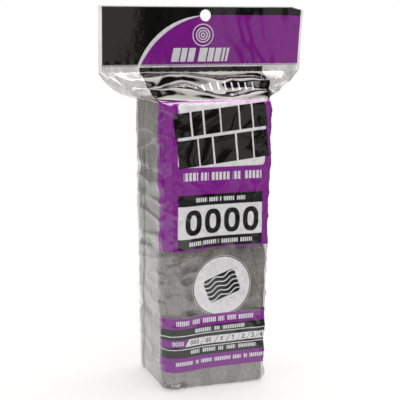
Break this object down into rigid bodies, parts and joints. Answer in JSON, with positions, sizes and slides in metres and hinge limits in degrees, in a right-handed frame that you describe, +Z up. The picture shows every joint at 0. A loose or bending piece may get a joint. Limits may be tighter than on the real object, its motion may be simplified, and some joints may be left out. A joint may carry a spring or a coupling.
{
  "type": "bagged steel wool pad pack",
  "caption": "Upright clear film bag with a flat hang header, sloping shoulders and stacked steel wool pads inside.",
  "frame": {"origin": "middle of the pack's footprint, on the surface that it stands on", "axes": "+Z up through the header, -Y out of the printed front, +X to the right seen from the front"},
  "size_m": [0.1422, 0.0586, 0.2528],
  "materials": {
    "film": "thin clear glossy poly film, printed on the front and the header",
    "steel_wool": "fine matted steel fibre, dull grey"
  },
  "bodies": {
    "root": {"film_bag": "film", "wool_pad_row1_layer1": "steel_wool", "wool_pad_row1_layer2": "steel_wool", "wool_pad_row1_layer3": "steel_wool", "wool_pad_row1_layer4": "steel_wool", "wool_pad_row2_layer1": "steel_wool", "wool_pad_row2_layer2": "steel_wool", "wool_pad_row2_layer3": "steel_wool", "wool_pad_row2_layer4": "steel_wool", "wool_pad_row3_layer1": "steel_wool", "wool_pad_row3_layer2": "steel_wool", "wool_pad_row3_layer3": "steel_wool", "wool_pad_row3_layer4": "steel_wool", "wool_pad_row4_layer1": "steel_wool", "wool_pad_row4_layer2": "steel_wool", "wool_pad_row4_layer3": "steel_wool", "wool_pad_row4_layer4": "steel_wool"}
  },
  "joints": []
}
